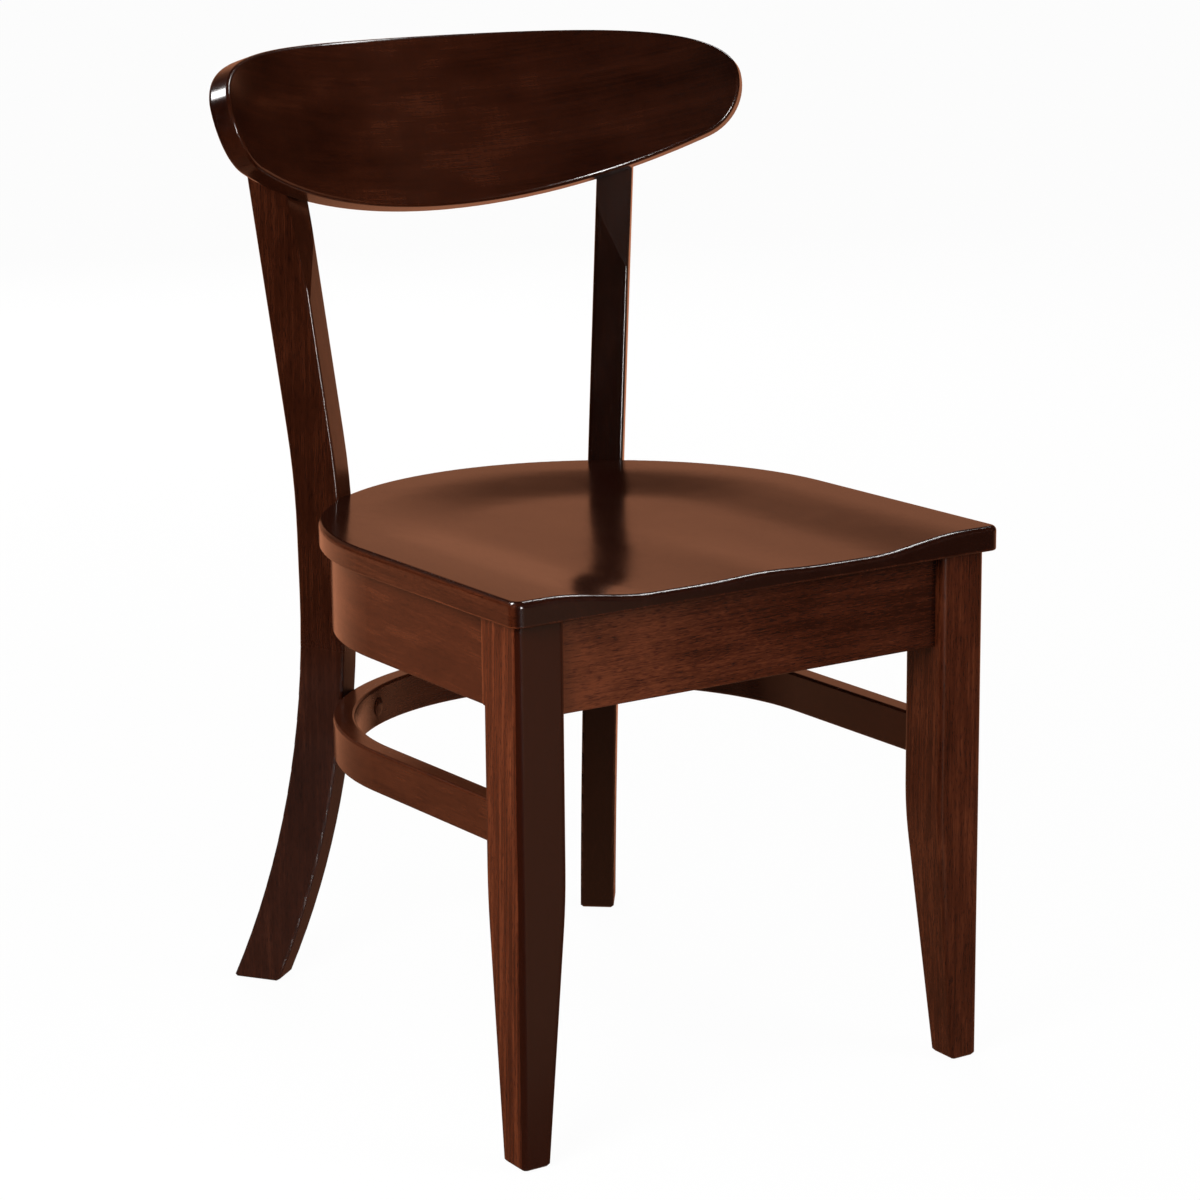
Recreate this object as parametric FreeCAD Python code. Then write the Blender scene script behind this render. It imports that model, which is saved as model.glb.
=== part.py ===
import FreeCAD, Part
import math
import os
from BOPTools import SplitAPI
from FreeCAD import Vector

# Side chair in solid wood. Lengths are millimetres and angles degrees.
# The frame is drawn square: y = 0 at the front faces of the front legs, y runs to the back, x to the right
# seen from the front, and z = 0 at the front feet. At the end it leans back as one by the seat rake.

# Whole frame
seat_rake = 1.5
seat_underside = 435.0
frame_width = 453.7
bend_centre = 222.4
bend_radius = 223.6

# Front legs, tapered below a soft knee on the inner and the back side
front_leg_width = 43.7
front_leg_depth = 48.0
front_foot_width = 26.1
front_foot_depth = 29.6
front_taper_height = 212.5
front_knee_length = 24.0
front_leg_outer_arris = 5.5
front_leg_inner_arris = 4.5
front_leg_back_arris = 3.0

# Front rail
rail_height = 77.4
rail_thickness = 22.0
rail_setback = 9.2
rail_arris = 1.5

# Seat board
seat_thickness = 20.4
seat_front_overhang = 10.0
seat_side_overhang = 8.3
seat_back_overhang = 9.2
seat_corner_radius = 9.0
seat_top_round = 4.6
seat_lower_round = 1.5
scoop_depth = 9.3
scoop_rim = 33.0
scoop_slope = 95.0
pommel_rise = 2.2
pommel_half_width = 34.0
pommel_length = 150.0

# Bent apron
apron_height = 70.7
apron_thickness = 20.0
apron_arris = 1.5

# Bent stretcher
stretcher_underside = 252.8
stretcher_height = 34.4
stretcher_thickness = 18.4
stretcher_half_width = 220.6
stretcher_radius = 222.2
stretcher_centre = 228.0
stretcher_arris = 2.5

# Rear legs: curved below the seat, straight post above it
rear_leg_station = 35.0
rear_leg_turn = 37.0
rear_leg_standoff = 7.6
rear_leg_thickness = 31.0
rear_leg_depth = 40.8
rear_leg_splay = 1.92
rear_leg_arris = 3.0
sabre_height = 370.0
sabre_setback_front = 81.9
sabre_setback_back = 84.6
post_lean = 6.95
post_bend_front = 462.2
post_bend_back = 468.7
post_bend_length = 45.0
post_top = 778.0
facet_start_outer = 620.0
facet_start_inner = 678.0
facet_lean = 10.4
apron_pad_inset = 3.0
stretcher_pad_inset = 9.0

# Back panel, bent to a cylinder that leans back; its middle is placed from the tops of the posts
panel_lean = 22.9
panel_setback = 26.5
panel_below_top = 22.7
panel_radius = 359.0
panel_half_arc = 279.0
panel_rise = 81.5
panel_drop = 70.7
panel_end_radius = 48.0
panel_thickness = 18.4
panel_arris = 3.0

# Blocks inside the frame
block_height = 40.0
corner_block_clear = 32.0
corner_block_width = 30.0
rear_block_width = 96.0
rear_block_depth = 32.0
rear_block_screw_spread = 70.0
rear_seat_screw_spread = 30.0

# Dowels, screws, bolts and plugs
dowel_diameter = 10.0
dowel_length = 50.0
dowel_spacing = 33.0
dowel_chamfer = 1.0
screw_diameter = 4.5
screw_head_diameter = 9.0
screw_slot_width = 1.2
screw_slot_depth = 1.4
screw_slot_length = 5.4
bolt_diameter = 7.0
bolt_head_diameter = 13.0
bolt_head_height = 4.0
screw_sink = 6.0
block_screw_grip = 13.0
block_screw_bite = 14.0
seat_screw_bite = 7.0
apron_screw_bite = 26.0
panel_screw_bite = 11.0
bolt_bite = 30.0
panel_screw_low_below_top = 51.0
panel_screw_high_below_top = 21.0
plug_diameter = 10.0
plug_length = 7.0
button_diameter = 16.5
button_rise = 2.2
button_depth = 5.0

# Glides under the feet
glide_diameter = 18.0
glide_thickness = 3.5
glide_stand = 1.0
glide_nail_diameter = 2.6
glide_nail_head = 6.0
glide_nail_length = 18.0
foot_bevel = 2.2
saw_allowance = 20.0

# Fits
glue_gap = 0.1
cope_gap = 0.3

BIG = 1500.0
UP = Vector(0, 0, 1)
LEFT_TO_RIGHT = Vector(1, 0, 0)
BACKWARDS = Vector(0, 1, 0)
ORIGIN = Vector(0, 0, 0)

seat_top = seat_underside + seat_thickness
half_frame = frame_width / 2
leg_inner_x = half_frame - front_leg_width
rail_back_y = rail_setback + rail_thickness


def mirrored(shape):
    return shape.mirror(ORIGIN, LEFT_TO_RIGHT)


def along(point, direction, distance):
    return point + Vector(direction).normalize() * distance


def halfway(first, second):
    return (first + second) * 0.5


def rod(start, direction, length, diameter):
    return Part.makeCylinder(diameter / 2, length, start, direction)


def polygon_prism(points, bottom, height):
    corners = [Vector(x, y, bottom) for x, y in points]
    face = Part.Face(Part.makePolygon(corners + corners[:1]))
    return face.extrude(UP * height)


def rounded(shape, radius, wanted):
    return shape.makeFillet(radius, [edge for edge in shape.Edges if wanted(edge)])


def edge_middle(edge):
    return edge.valueAt((edge.FirstParameter + edge.LastParameter) / 2)


def level_edge(edge, height):
    box = edge.BoundBox
    return abs(box.ZMin - height) < 0.01 and abs(box.ZMax - height) < 0.01


# Horseshoe strips: two straight sides, tangent to a round back
def horseshoe_points(half_front, front_y, radius, centre_y, inset):
    across = half_front
    behind = centre_y - front_y
    tilt = math.acos(radius / math.hypot(across, behind)) - math.atan2(behind, across)
    normal = Vector(math.cos(tilt), math.sin(tilt), 0)
    side = Vector(-math.sin(tilt), math.cos(tilt), 0)
    tangent = Vector(0, centre_y, 0) + normal * (radius - inset)
    start = Vector(half_front, front_y, 0) - normal * inset
    start = start + side * ((front_y - start.y) / side.y)
    back = Vector(0, centre_y + radius - inset, 0)
    return start, tangent, back


def horseshoe_edges(start, tangent, back):
    other_tangent = Vector(-tangent.x, tangent.y, 0)
    other_start = Vector(-start.x, start.y, 0)
    right = Part.makeLine(start, tangent)
    bend = Part.Arc(tangent, back, other_tangent).toShape()
    left = Part.makeLine(other_tangent, other_start)
    return [right, bend, left]


def horseshoe_strip(half_front, front_y, radius, centre_y, thickness, bottom, height):
    outer = horseshoe_points(half_front, front_y, radius, centre_y, 0)
    inner = horseshoe_points(half_front, front_y, radius, centre_y, thickness)
    edges = horseshoe_edges(*outer) + horseshoe_edges(*inner)
    for sign in (1, -1):
        outer_end = Vector(sign * outer[0].x, front_y, 0)
        inner_end = Vector(sign * inner[0].x, front_y, 0)
        edges.append(Part.makeLine(outer_end, inner_end))
    face = Part.Face(Part.Wire(Part.__sortEdges__(edges)))
    face.translate(UP * bottom)
    return face.extrude(UP * height)


def horseshoe_area(half_front, front_y, radius, centre_y, inset, bottom, height):
    points = horseshoe_points(half_front, front_y, radius, centre_y, inset)
    edges = horseshoe_edges(*points)
    edges.append(Part.makeLine(Vector(-points[0].x, front_y, 0), Vector(points[0].x, front_y, 0)))
    face = Part.Face(Part.Wire(Part.__sortEdges__(edges)))
    face.translate(UP * bottom)
    return face.extrude(UP * height)


def long_arrises(shape, radius, bottom, height, front_y):
    def wanted(edge):
        at_front = abs(edge.BoundBox.YMin - front_y) < 0.01 and abs(edge.BoundBox.YMax - front_y) < 0.01
        return not at_front and (level_edge(edge, bottom) or level_edge(edge, bottom + height))
    return rounded(shape, radius, wanted)


# Screws and their holes
def wood_screw(head_centre, direction, length):
    shank_radius = screw_diameter / 2
    head_radius = screw_head_diameter / 2
    cone_height = head_radius - shank_radius
    tip_height = screw_diameter
    cone = Part.makeCone(head_radius, shank_radius, cone_height, ORIGIN, UP)
    shank = Part.makeCylinder(shank_radius, length - cone_height - tip_height, UP * cone_height, UP)
    tip = Part.makeCone(shank_radius, 0, tip_height, UP * (length - tip_height), UP)
    screw = cone.fuse([shank, tip]).removeSplitter()
    for turn in (0, 90):
        slot = Part.makeBox(screw_slot_length, screw_slot_width, screw_slot_depth)
        slot.translate(Vector(-screw_slot_length / 2, -screw_slot_width / 2, 0))
        slot.rotate(ORIGIN, UP, turn)
        screw = screw.cut(slot)
    return turned_to(screw, head_centre, direction)


def half_space(point, normal):
    block = Part.makeBox(2 * BIG, 2 * BIG, BIG, Vector(-BIG, -BIG, 0))
    return turned_to(block, point, normal)


def turned_to(shape, place, direction):
    shape.Placement = FreeCAD.Placement(place, FreeCAD.Rotation(UP, Vector(direction)))
    return shape


def screw_hole(head_centre, direction, length, open_depth):
    shank = rod(head_centre, direction, length + glue_gap, screw_diameter + 2 * glue_gap)
    head_radius = screw_head_diameter / 2 + glue_gap
    cone_height = (screw_head_diameter - screw_diameter) / 2
    cone = Part.makeCone(head_radius, screw_diameter / 2 + glue_gap, cone_height, ORIGIN, UP)
    cone = turned_to(cone, head_centre, direction)
    opening = rod(along(head_centre, direction, -open_depth), direction, open_depth, 2 * head_radius)
    return shank.fuse([cone, opening])


def dowel(centre, direction):
    start = along(centre, direction, -dowel_length / 2)
    pin = rod(start, direction, dowel_length, dowel_diameter)
    ends = [edge for edge in pin.Edges if isinstance(edge.Curve, Part.Circle)]
    return pin.makeChamfer(dowel_chamfer, ends)


def dowel_hole(centre, direction):
    reach = dowel_length + 2 * glue_gap
    return rod(along(centre, direction, -reach / 2), direction, reach, dowel_diameter + 2 * glue_gap)


# Front legs
def tapered_profile(size, foot_size):
    # Drawn in x and z, with x the distance from the straight face
    slope = (size - foot_size) / front_taper_height
    top = Vector(size, 0, seat_underside)
    corner = Vector(size, 0, front_taper_height)
    start = corner + UP * front_knee_length
    end = corner - Vector(slope, 0, 1) * front_knee_length
    low = Vector(foot_size - slope * saw_allowance, 0, -saw_allowance)
    knee = Part.Arc(start, halfway(corner, halfway(start, end)), end).toShape()
    rest = Part.makePolygon([low, Vector(0, 0, -saw_allowance), Vector(0, 0, seat_underside), top])
    edges = [Part.makeLine(top, start), knee, Part.makeLine(end, low)] + rest.Edges
    return Part.Face(Part.Wire(Part.__sortEdges__(edges)))


def front_leg():
    width_profile = mirrored(tapered_profile(front_leg_width, front_foot_width))
    width_profile.translate(LEFT_TO_RIGHT * half_frame)
    depth_profile = tapered_profile(front_leg_depth, front_foot_depth)
    depth_profile.rotate(ORIGIN, UP, 90)
    depth_profile.translate(LEFT_TO_RIGHT * leg_inner_x)
    leg = width_profile.extrude(BACKWARDS * front_leg_depth)
    leg = leg.common(depth_profile.extrude(LEFT_TO_RIGHT * front_leg_width))

    def long_edge(inner, back):
        def wanted(edge):
            middle = edge_middle(edge)
            at_inner = middle.x < half_frame - front_foot_width / 2
            at_back = middle.y > front_foot_depth / 2
            return edge.BoundBox.ZLength > 1 and at_inner == inner and at_back == back
        return wanted
    leg = rounded(leg, front_leg_outer_arris, long_edge(False, False))
    leg = rounded(leg, front_leg_inner_arris, long_edge(True, False))
    leg = rounded(leg, front_leg_inner_arris, long_edge(True, True))
    leg = rounded(leg, front_leg_back_arris, long_edge(False, True))
    # The outer back edge stays square where the apron meets it
    side = front_leg_back_arris
    corner_place = Vector(half_frame - side, front_leg_depth - side, apron_underside)
    corner = Part.makeBox(side, side, apron_height, corner_place)
    return leg.fuse(corner).removeSplitter()


# Rear leg, drawn for the left side with r running outwards and t towards the middle of the chair
station = math.radians(rear_leg_station)
turn = math.radians(rear_leg_turn)
leg_reach = bend_radius + rear_leg_standoff
leg_foot = Vector(-leg_reach * math.sin(station), bend_centre + leg_reach * math.cos(station), 0)
leg_out = Vector(-math.sin(turn), math.cos(turn), 0)
leg_in = Vector(math.cos(turn), math.sin(turn), 0)


def leg_point(r, t, z):
    return leg_foot + leg_out * r + leg_in * t + UP * z


def splayed(shape):
    shape.rotate(leg_foot + UP * seat_underside, leg_out, -rear_leg_splay)
    return shape


def splayed_point(r, t, z):
    return splayed(Part.Vertex(leg_point(r, t, z))).Point


def sabre_r(z, depth, setback):
    radius = (sabre_height ** 2 + setback ** 2) / (2 * setback)
    return depth + radius - math.sqrt(radius ** 2 - (sabre_height - z) ** 2)


def leg_side(depth, setback, bend_height, half):
    below = -saw_allowance
    lean = math.radians(post_lean)
    low = (sabre_r(below, depth, setback), below)
    middle = (sabre_r((below + sabre_height) / 2, depth, setback), (below + sabre_height) / 2)
    start = (depth, sabre_height)
    bend_start = (depth, bend_height - post_bend_length)
    bend_end = (depth + post_bend_length * math.sin(lean), bend_height + post_bend_length * math.cos(lean))
    bend_radius_here = post_bend_length / math.tan(lean / 2)
    sag = bend_radius_here * (1 - math.cos(lean / 2))
    bend_middle = (depth + sag, bend_start[1] + bend_radius_here * math.sin(lean / 2))
    top = (depth + (post_top - bend_height) * math.tan(lean), post_top)

    def at(pair):
        return leg_point(pair[0], -half, pair[1])
    sabre = Part.Arc(at(low), at(middle), at(start)).toShape()
    plain = Part.makeLine(at(start), at(bend_start))
    bend = Part.Arc(at(bend_start), at(bend_middle), at(bend_end)).toShape()
    post = Part.makeLine(at(bend_end), at(top))
    return [sabre, plain, bend, post], at(low), at(top)


def rear_leg_blank():
    half = rear_leg_thickness / 2
    front, front_low, front_top = leg_side(0.0, sabre_setback_front, post_bend_front, half)
    back, back_low, back_top = leg_side(rear_leg_depth, sabre_setback_back, post_bend_back, half)
    edges = front + back + [Part.makeLine(front_low, back_low), Part.makeLine(front_top, back_top)]
    face = Part.Face(Part.Wire(Part.__sortEdges__(edges)))
    blank = face.extrude(leg_in * rear_leg_thickness)
    long_edges = []
    for edge in blank.Edges:
        box = edge.BoundBox
        ends = [vertex.Point.z for vertex in edge.Vertexes]
        if box.ZLength > 1 and max(ends) - min(ends) > 1:
            long_edges.append(edge)
    return blank.makeFillet(rear_leg_arris, long_edges)


def facet_cutter():
    half = rear_leg_thickness / 2
    slope = math.tan(math.radians(facet_lean))
    climb = 100.0
    post_slope = math.tan(math.radians(post_lean))
    outer_r = (facet_start_outer - post_bend_front) * post_slope
    inner_r = (facet_start_inner - post_bend_front) * post_slope
    outer = leg_point(outer_r, -half, facet_start_outer)
    inner = leg_point(inner_r, half, facet_start_inner)
    higher = leg_point(outer_r + slope * climb, -half, facet_start_outer + climb)
    normal = (higher - outer).cross(inner - outer).normalize()
    if normal.dot(leg_out) > 0:
        normal = normal * -1
    return half_space(outer, normal)


# Back panel
lean = math.radians(panel_lean)
panel_up = Vector(0, math.sin(lean), math.cos(lean))
panel_back = Vector(0, math.cos(lean), -math.sin(lean))
post_top_r = (post_top - post_bend_front) * math.tan(math.radians(post_lean))
panel_origin = Vector(0, leg_point(post_top_r, 0, 0).y + panel_setback, post_top - panel_below_top)
panel_axis = panel_origin - panel_back * panel_radius


def panel_point(angle, height, radius):
    return panel_axis + panel_up * height + LEFT_TO_RIGHT * (radius * math.sin(angle)) + panel_back * (
        radius * math.cos(angle))


def panel_cylinder(radius, low, high):
    start = panel_axis + panel_up * low
    cylinder = Part.makeCylinder(radius, high - low, start, panel_up)
    cylinder.rotate(start, panel_up, 180)
    return cylinder


def panel_stretches():
    # Half an ellipse above, and below it a long arc with an end arc at each side: points and end directions
    end_centre = panel_half_arc - panel_end_radius
    drop = panel_drop - panel_end_radius
    long_radius = (end_centre ** 2 + drop ** 2) / (2 * drop) + panel_end_radius
    swing = math.asin(end_centre / (long_radius - panel_end_radius))

    def ellipse(angle):
        place = (panel_half_arc * math.cos(angle), panel_rise * math.sin(angle))
        return place, (-panel_half_arc * math.sin(angle), panel_rise * math.cos(angle))

    def right_end(angle):
        place = (end_centre + panel_end_radius * math.cos(angle), panel_end_radius * math.sin(angle))
        return place, (-math.sin(angle), math.cos(angle))

    def left_end(angle):
        place = (-end_centre + panel_end_radius * math.cos(angle), panel_end_radius * math.sin(angle))
        return place, (-math.sin(angle), math.cos(angle))

    def long_arc(angle):
        place = (long_radius * math.sin(angle), long_radius - panel_drop - long_radius * math.cos(angle))
        return place, (math.cos(angle), math.sin(angle))
    quarter = math.pi / 2
    return [
        (ellipse, 0, quarter), (ellipse, quarter, 2 * quarter), (left_end, 2 * quarter, 3 * quarter - swing),
        (long_arc, -swing, 0), (long_arc, 0, swing), (right_end, swing - quarter, 0)]


def panel_loop(radius):
    steps = 8
    edges = []
    for stretch, first, last in panel_stretches():
        places = []
        directions = []
        for step in range(steps + 1):
            (s, h), (ds, dh) = stretch(first + (last - first) * step / steps)
            turn_here = s / panel_radius
            around = LEFT_TO_RIGHT * math.cos(turn_here) - panel_back * math.sin(turn_here)
            places.append(panel_point(turn_here, h, radius))
            directions.append((around * (ds * radius / panel_radius) + panel_up * dh).normalize())
        curve = Part.BSplineCurve()
        curve.interpolate(Points=places, Tangents=directions, TangentFlags=[True] * len(places))
        edges.append(curve.toShape())
    return edges


def back_panel():
    margin = 6.0
    low = -panel_drop - 2 * margin
    high = panel_rise + 2 * margin
    shell = panel_cylinder(panel_radius + panel_thickness, low, high)
    shell = shell.cut(panel_cylinder(panel_radius, low - 1, high + 1))
    front_half = Part.makeBox(2 * BIG, BIG, 2 * BIG)
    front_half.translate(Vector(-BIG, -BIG, -BIG))
    front_half.rotate(ORIGIN, LEFT_TO_RIGHT, -panel_lean)
    front_half.translate(panel_axis)
    shell = shell.cut(front_half)
    inner_loop = panel_loop(panel_radius - margin)
    outer_loop = panel_loop(panel_radius + panel_thickness + margin)
    band = Part.Shell([Part.makeRuledSurface(inner, outer) for inner, outer in zip(inner_loop, outer_loop)])
    pieces = SplitAPI.slice(shell, [band], "Split").Solids
    middle = panel_point(0, 0, panel_radius + panel_thickness / 2)
    panel = [piece for piece in pieces if piece.isInside(middle, 0.01, True)][0]
    sides = []
    for edge in panel.Edges:
        point = edge_middle(edge)
        radial = point - panel_axis
        radial = radial - panel_up * radial.dot(panel_up)
        across = max(edge.BoundBox.XLength, edge.BoundBox.ZLength)
        on_face = min(abs(radial.Length - panel_radius), abs(radial.Length - panel_radius - panel_thickness))
        if on_face < 0.05 and across > panel_thickness:
            sides.append(edge)
    return panel.makeFillet(panel_arris, sides)


# Seat
def scoop_height(x, y):
    rim_radius = bend_radius + seat_back_overhang
    if y > bend_centre:
        inside = rim_radius - math.hypot(x, y - bend_centre)
    else:
        inside = rim_radius - abs(x)
    share = min(max((inside - scoop_rim) / scoop_slope, 0.0), 1.0)
    ramp = share * share * (3 - 2 * share)
    pommel = pommel_rise * math.exp(-(x / pommel_half_width) ** 2)
    pommel = pommel * math.exp(-(max(y, 0.0) / pommel_length) ** 2)
    return seat_top - (scoop_depth - pommel) * ramp


def scoop_cutter():
    margin = 30.0
    half = half_frame + seat_side_overhang + margin
    front = -seat_front_overhang - margin
    back = bend_centre + bend_radius + margin
    columns = 36
    rows = 36
    grid = []
    for row in range(rows + 1):
        y = front + (back - front) * row / rows
        grid.append([Vector(x, y, scoop_height(x, y)) for x in [
            half * (2 * column / columns - 1) for column in range(columns + 1)]])
    surface = Part.BSplineSurface()
    surface.interpolate(grid)
    return surface.toShape().extrude(UP * 2 * margin)


def seat_board():
    half_front = half_frame + seat_side_overhang
    front_y = -seat_front_overhang
    radius = bend_radius + seat_back_overhang
    board = horseshoe_area(half_front, front_y, radius, bend_centre, 0, seat_underside, 2 * seat_thickness)

    def front_corner(edge):
        return edge.BoundBox.ZLength > 1 and abs(edge.BoundBox.YMax - front_y) < 0.01
    board = rounded(board, seat_corner_radius, front_corner)
    board = rounded(board, seat_lower_round, lambda edge: level_edge(edge, seat_underside))
    board = board.cut(scoop_cutter())
    mid_height = seat_underside + seat_lower_round + 1
    return rounded(board, seat_top_round, lambda edge: edge.BoundBox.ZMin > mid_height)


def line_meets_bend(point, direction, centre_y, radius):
    flat = Vector(point.x, point.y - centre_y, 0)
    half_b = flat.dot(direction)
    rest = flat.dot(flat) - radius ** 2
    return point + direction * (-half_b + math.sqrt(half_b ** 2 - rest))


apron_underside = seat_underside - apron_height
stretcher_top = stretcher_underside + stretcher_height
stretcher_middle = stretcher_underside + stretcher_height / 2


# Left rear leg with its two pads, coped to the apron, the stretcher and the panel
def pad(low, high, deepest, shallowest):
    half = rear_leg_thickness / 2
    block = Part.makeBox(rear_leg_thickness, shallowest - deepest, high - low, Vector(-half, deepest, 0))
    block.rotate(ORIGIN, UP, rear_leg_turn)
    block.translate(leg_foot + UP * low)
    return block


def rear_leg():
    shaped = rear_leg_blank().cut(facet_cutter())
    reach_in = -rear_leg_standoff - apron_thickness / 2
    low = apron_underside + apron_pad_inset
    high = seat_underside - apron_pad_inset
    apron_pad = pad(low, high, reach_in, rear_leg_depth / 2)
    low = stretcher_underside + stretcher_pad_inset
    high = stretcher_top - stretcher_pad_inset
    stretcher_pad = pad(low, high, reach_in, rear_leg_depth / 2)
    leg = splayed(shaped.fuse([apron_pad, stretcher_pad]))
    leg = leg.cut(horseshoe_area(
        half_frame, front_leg_depth, bend_radius, bend_centre, -cope_gap, apron_underside, apron_height))
    leg = leg.cut(horseshoe_area(
        stretcher_half_width, front_leg_depth, stretcher_radius, stretcher_centre, -cope_gap,
        stretcher_underside, stretcher_height))
    cope = panel_cylinder(panel_radius + panel_thickness + glue_gap, -panel_drop - panel_rise, 2 * panel_rise)
    return leg.cut(cope).removeSplitter()


def to_floor(shape):
    # Lean the frame back, then saw the feet level and bevel their lower edges
    leaned = to_world(shape)
    sawn = leaned.cut(half_space(ORIGIN, Vector(0, 0, -1)))
    return rounded_foot(sawn)


def rounded_foot(shape):
    return shape.makeChamfer(foot_bevel, [edge for edge in shape.Edges if level_edge(edge, 0.0)])


def to_world(shape):
    moved = shape.copy()
    moved.rotate(ORIGIN, LEFT_TO_RIGHT, -seat_rake)
    return moved


def foot_centre(leg):
    faces = [face for face in leg.Faces if abs(face.BoundBox.ZMax) < 0.01]
    return faces[0].CenterOfMass


# Timber of the frame
leg_right = front_leg()
rail_underside = seat_underside - rail_height
rail_place = Vector(-leg_inner_x, rail_setback, rail_underside)
rail = Part.makeBox(2 * leg_inner_x, rail_thickness, rail_height, rail_place)
rail = rounded(rail, rail_arris, lambda edge: edge.BoundBox.XLength > 1 and level_edge(edge, rail_underside))
apron = horseshoe_strip(
    half_frame, front_leg_depth, bend_radius, bend_centre, apron_thickness, apron_underside, apron_height)
apron = rounded(apron, apron_arris, lambda edge: level_edge(edge, apron_underside)
                and edge.BoundBox.YLength > 1)
stretcher = horseshoe_strip(
    stretcher_half_width, front_leg_depth, stretcher_radius, stretcher_centre, stretcher_thickness,
    stretcher_underside, stretcher_height)
stretcher = long_arrises(stretcher, stretcher_arris, stretcher_underside, stretcher_height, front_leg_depth)
rear_left = rear_leg()
panel = back_panel()
seat = seat_board()
leg_shadow = splayed(rear_leg_blank())
leg_shadow.translate(leg_out * -cope_gap)
seat = seat.cut([leg_shadow, mirrored(leg_shadow)])

# Corner blocks, drawn for the right side: a diagonal bar with mitred ends on the rail and the apron
block_low = seat_underside - block_height
block_middle = seat_underside - block_height / 2
rail_corner = Vector(leg_inner_x - corner_block_clear, rail_back_y, 0)
mid_apron_x = half_frame - apron_thickness / 2
apron_corner = Vector(mid_apron_x, front_leg_depth + corner_block_clear, 0)
diagonal = (apron_corner - rail_corner).normalize()
inward = Vector(-diagonal.y, diagonal.x, 0)
inner_line = rail_corner + inward * corner_block_width
rail_end = inner_line + diagonal * ((rail_back_y - inner_line.y) / diagonal.y)
apron_end = inner_line + diagonal * ((mid_apron_x - inner_line.x) / diagonal.x)
corner_points = [rail_corner, apron_corner, apron_end, rail_end]
corner_block = polygon_prism([(point.x, point.y) for point in corner_points], block_low, block_height)
corner_block = corner_block.cut(apron)

# Rear block, fitted to the bend of the apron
rear_block_back = bend_centre + bend_radius - apron_thickness
rear_block_front = rear_block_back - rear_block_depth
rear_block_place = Vector(-rear_block_width / 2, rear_block_front, block_low)
rear_block = Part.makeBox(rear_block_width, rear_block_depth, block_height, rear_block_place)
rear_block = rear_block.common(horseshoe_area(
    half_frame, front_leg_depth, bend_radius, bend_centre, apron_thickness + glue_gap,
    block_low, block_height))

holes = {}


def drill(names, cutter):
    for name in names:
        holes.setdefault(name, []).append(cutter)


def both_sides(shape):
    return [shape, mirrored(shape)]


def add_screw(group, head_centre, direction, length, open_depth, right_names, left_names):
    # One screw and its mirror image, with the holes that they run in
    group.extend(both_sides(wood_screw(head_centre, direction, length)))
    cutter = screw_hole(head_centre, direction, length, open_depth)
    drill(right_names, cutter)
    drill(left_names, mirrored(cutter))


def add_dowel(group, centre, direction, right_names, left_names):
    group.extend(both_sides(dowel(centre, direction)))
    cutter = dowel_hole(centre, direction)
    drill(right_names, cutter)
    drill(left_names, mirrored(cutter))


# Dowels of the front joints, drawn for the right side
rail_dowels = []
apron_dowels = []
stretcher_dowels = []
rail_middle_y = rail_setback + rail_thickness / 2
rail_middle_z = seat_underside - rail_height / 2
apron_middle_z = seat_underside - apron_height / 2
apron_start = horseshoe_points(half_frame, front_leg_depth, bend_radius, bend_centre, apron_thickness / 2)[0]
stretcher_start = horseshoe_points(
    stretcher_half_width, front_leg_depth, stretcher_radius, stretcher_centre, stretcher_thickness / 2)[0]
for sign in (1, -1):
    rise = sign * dowel_spacing / 2
    add_dowel(rail_dowels, Vector(leg_inner_x, rail_middle_y, rail_middle_z + rise), LEFT_TO_RIGHT,
              ["front_leg_right", "front_rail"], ["front_leg_left", "front_rail"])
    add_dowel(apron_dowels, apron_start + UP * (apron_middle_z + rise), BACKWARDS,
              ["front_leg_right", "bent_apron"], ["front_leg_left", "bent_apron"])
add_dowel(stretcher_dowels, stretcher_start + UP * stretcher_middle, BACKWARDS,
          ["front_leg_right", "bent_stretcher"], ["front_leg_left", "bent_stretcher"])

# Screws of the corner blocks: one into the rail, one into the apron
corner_block_screws = []
rail_screw_x = (rail_corner.x + rail_end.x) / 2
rail_screw = Vector(rail_screw_x, rail_back_y + block_screw_grip, block_middle)
block_screw_length = block_screw_grip + block_screw_bite
add_screw(corner_block_screws, rail_screw, BACKWARDS * -1, block_screw_length, corner_block_width,
          ["corner_block_right", "front_rail"], ["corner_block_left", "front_rail"])
apron_screw_y = (apron_corner.y + apron_end.y) / 2
apron_face = horseshoe_points(half_frame, apron_screw_y, bend_radius, bend_centre, apron_thickness)[0]
apron_screw = Vector(apron_face.x - block_screw_grip, apron_screw_y, block_middle)
add_screw(corner_block_screws, apron_screw, LEFT_TO_RIGHT, block_screw_length, corner_block_width,
          ["corner_block_right", "bent_apron"], ["corner_block_left", "bent_apron"])

# Screws of the rear block into the apron
rear_block_screws = []
rear_screw = Vector(rear_block_screw_spread / 2, rear_block_front + screw_sink, block_middle)
rear_face = line_meets_bend(rear_screw, BACKWARDS, bend_centre, bend_radius - apron_thickness)
rear_screw_length = rear_face.y - rear_screw.y + block_screw_bite
add_screw(rear_block_screws, rear_screw, BACKWARDS, rear_screw_length, rear_block_depth,
          ["rear_seat_block", "bent_apron"], ["rear_seat_block", "bent_apron"])

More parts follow.
